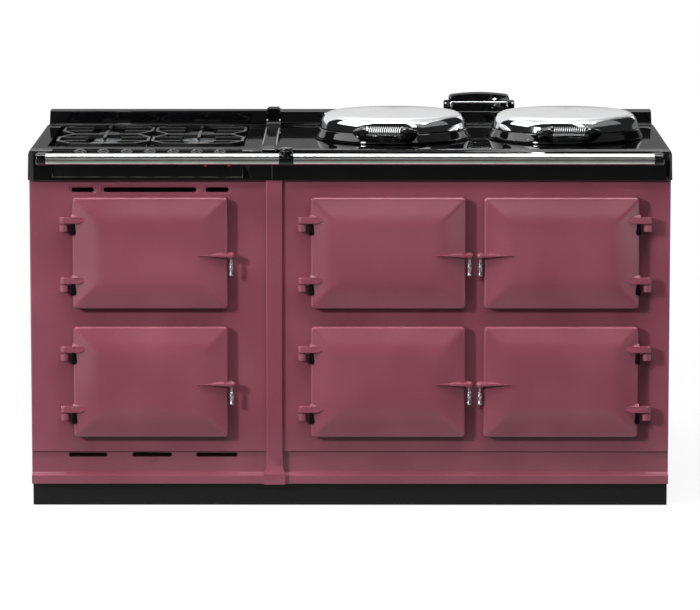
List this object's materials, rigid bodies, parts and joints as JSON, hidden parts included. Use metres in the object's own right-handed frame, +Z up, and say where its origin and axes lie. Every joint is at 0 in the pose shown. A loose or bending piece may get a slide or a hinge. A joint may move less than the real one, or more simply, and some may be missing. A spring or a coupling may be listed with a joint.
{
  "type": "range cooker",
  "caption": "Cast iron range cooker in two joined modules: gas hob with knobs, domed lids over hotplates, hinged oven doors, towel rail and plinth.",
  "frame": {"origin": "centre of the bounding box's underside, at floor level under the plinth", "axes": "+X along the front to the right as seen by the cook, -Y out of the front, +Z up"},
  "size_m": [1.59, 0.7254, 0.9775],
  "materials": {
    "heather_enamel": "gloss",
    "black_enamel": "gloss",
    "plinth_paint": "satin",
    "stainless_rail": "satin",
    "lid_metal": "polished",
    "lid_ring_black": "gloss",
    "handle_black": "gloss",
    "handle_wire": "polished",
    "grip_steel": "polished",
    "cast_iron_dark": "machined",
    "oven_iron": "cast",
    "support_iron": "satin enamel",
    "liner_steel": "satin",
    "shelf_wire": "bright",
    "burner_alloy": "cast",
    "burner_enamel": "matt",
    "galvanised_steel": "satin",
    "mineral_wool": "fibrous",
    "red_lens": "gloss",
    "knob_black": "gloss",
    "panel_black": "satin"
  },
  "bodies": {
    "cabinet": {"plinth": "plinth_paint", "base_trims": "heather_enamel", "front_panel_left": "heather_enamel", "front_panel_right": "heather_enamel", "joint_strip": "heather_enamel", "side_panels": "heather_enamel", "rear_panel": "galvanised_steel", "insulation": "mineral_wool", "oven_liners_left": "oven_iron", "oven_liners_middle": "oven_iron", "oven_liners_right": "oven_iron", "oven_shelves": "shelf_wire", "hinge_brackets": "heather_enamel", "top_plate_left": "black_enamel", "top_plate_right": "black_enamel", "top_joint_cover": "black_enamel", "hotplates": "cast_iron_dark", "vent_box": "black_enamel", "vent_cap": "black_enamel", "lid_hinges": "lid_metal", "control_panel": "panel_black", "indicator_lamps": "red_lens", "burner_bases": "burner_alloy", "burner_caps": "burner_enamel", "pan_supports": "support_iron", "towel_rails": "stainless_rail", "rail_brackets": "black_enamel"},
    "left_upper_door_group": {"left_upper_door": "heather_enamel", "left_upper_liner": "liner_steel", "left_upper_grip": "grip_steel"},
    "left_lower_door_group": {"left_lower_door": "heather_enamel", "left_lower_liner": "liner_steel", "left_lower_grip": "grip_steel"},
    "middle_upper_door_group": {"middle_upper_door": "heather_enamel", "middle_upper_liner": "liner_steel", "middle_upper_grip": "grip_steel"},
    "middle_lower_door_group": {"middle_lower_door": "heather_enamel", "middle_lower_liner": "liner_steel", "middle_lower_grip": "grip_steel"},
    "right_upper_door_group": {"right_upper_door": "heather_enamel", "right_upper_liner": "liner_steel", "right_upper_grip": "grip_steel"},
    "right_lower_door_group": {"right_lower_door": "heather_enamel", "right_lower_liner": "liner_steel", "right_lower_grip": "grip_steel"},
    "left_lid": {"left_lid_dome": "lid_metal", "left_lid_ring": "lid_ring_black", "left_lid_handle": "handle_black", "left_lid_coil": "handle_wire"},
    "right_lid": {"right_lid_dome": "lid_metal", "right_lid_ring": "lid_ring_black", "right_lid_handle": "handle_black", "right_lid_coil": "handle_wire"},
    "knob_1": {"knob_1": "knob_black"},
    "knob_2": {"knob_2": "knob_black"},
    "knob_3": {"knob_3": "knob_black"},
    "knob_4": {"knob_4": "knob_black"},
    "knob_5": {"knob_5": "knob_black"},
    "knob_6": {"knob_6": "knob_black"},
    "knob_7": {"knob_7": "knob_black"}
  },
  "joints": [
    {"name": "left_upper_door_hinge", "type": "hinge", "parent": "cabinet", "child": "left_upper_door_group", "pos_m": [-0.7055, -0.30125, 0.6385], "axis": [0, 0, -1], "range_deg": [0, 105]},
    {"name": "left_lower_door_hinge", "type": "hinge", "parent": "cabinet", "child": "left_lower_door_group", "pos_m": [-0.7055, -0.30125, 0.317], "axis": [0, 0, -1], "range_deg": [0, 105]},
    {"name": "middle_upper_door_hinge", "type": "hinge", "parent": "cabinet", "child": "middle_upper_door_group", "pos_m": [-0.118, -0.30125, 0.6385], "axis": [0, 0, -1], "range_deg": [0, 105]},
    {"name": "middle_lower_door_hinge", "type": "hinge", "parent": "cabinet", "child": "middle_lower_door_group", "pos_m": [-0.118, -0.30125, 0.317], "axis": [0, 0, -1], "range_deg": [0, 105]},
    {"name": "right_upper_door_hinge", "type": "hinge", "parent": "cabinet", "child": "right_upper_door_group", "pos_m": [0.7345, -0.30125, 0.6385], "axis": [0, 0, 1], "range_deg": [0, 105]},
    {"name": "right_lower_door_hinge", "type": "hinge", "parent": "cabinet", "child": "right_lower_door_group", "pos_m": [0.7345, -0.30125, 0.317], "axis": [0, 0, 1], "range_deg": [0, 105]},
    {"name": "left_lid_hinge", "type": "hinge", "parent": "cabinet", "child": "left_lid", "pos_m": [0.108, 0.21775, 0.909], "axis": [-1, 0, 0], "range_deg": [0, 95]},
    {"name": "right_lid_hinge", "type": "hinge", "parent": "cabinet", "child": "right_lid", "pos_m": [0.543, 0.21775, 0.909], "axis": [-1, 0, 0], "range_deg": [0, 95]},
    {"name": "knob_1_turn", "type": "hinge", "parent": "cabinet", "child": "knob_1", "pos_m": [-0.6646, -0.27955, 0.8765], "axis": [0, -1, 0], "range_deg": [0, 210]},
    {"name": "knob_2_turn", "type": "hinge", "parent": "cabinet", "child": "knob_2", "pos_m": [-0.607, -0.27955, 0.8765], "axis": [0, -1, 0], "range_deg": [0, 210]},
    {"name": "knob_3_turn", "type": "hinge", "parent": "cabinet", "child": "knob_3", "pos_m": [-0.5494, -0.27955, 0.8765], "axis": [0, -1, 0], "range_deg": [0, 210]},
    {"name": "knob_4_turn", "type": "hinge", "parent": "cabinet", "child": "knob_4", "pos_m": [-0.4918, -0.27955, 0.8765], "axis": [0, -1, 0], "range_deg": [0, 210]},
    {"name": "knob_5_turn", "type": "hinge", "parent": "cabinet", "child": "knob_5", "pos_m": [-0.4342, -0.27955, 0.8765], "axis": [0, 1, 0], "range_deg": [0, 270]},
    {"name": "knob_6_turn", "type": "hinge", "parent": "cabinet", "child": "knob_6", "pos_m": [-0.3766, -0.27955, 0.8765], "axis": [0, 1, 0], "range_deg": [0, 270]},
    {"name": "knob_7_turn", "type": "hinge", "parent": "cabinet", "child": "knob_7", "pos_m": [-0.319, -0.27955, 0.8765], "axis": [0, 1, 0], "range_deg": [0, 270]}
  ]
}
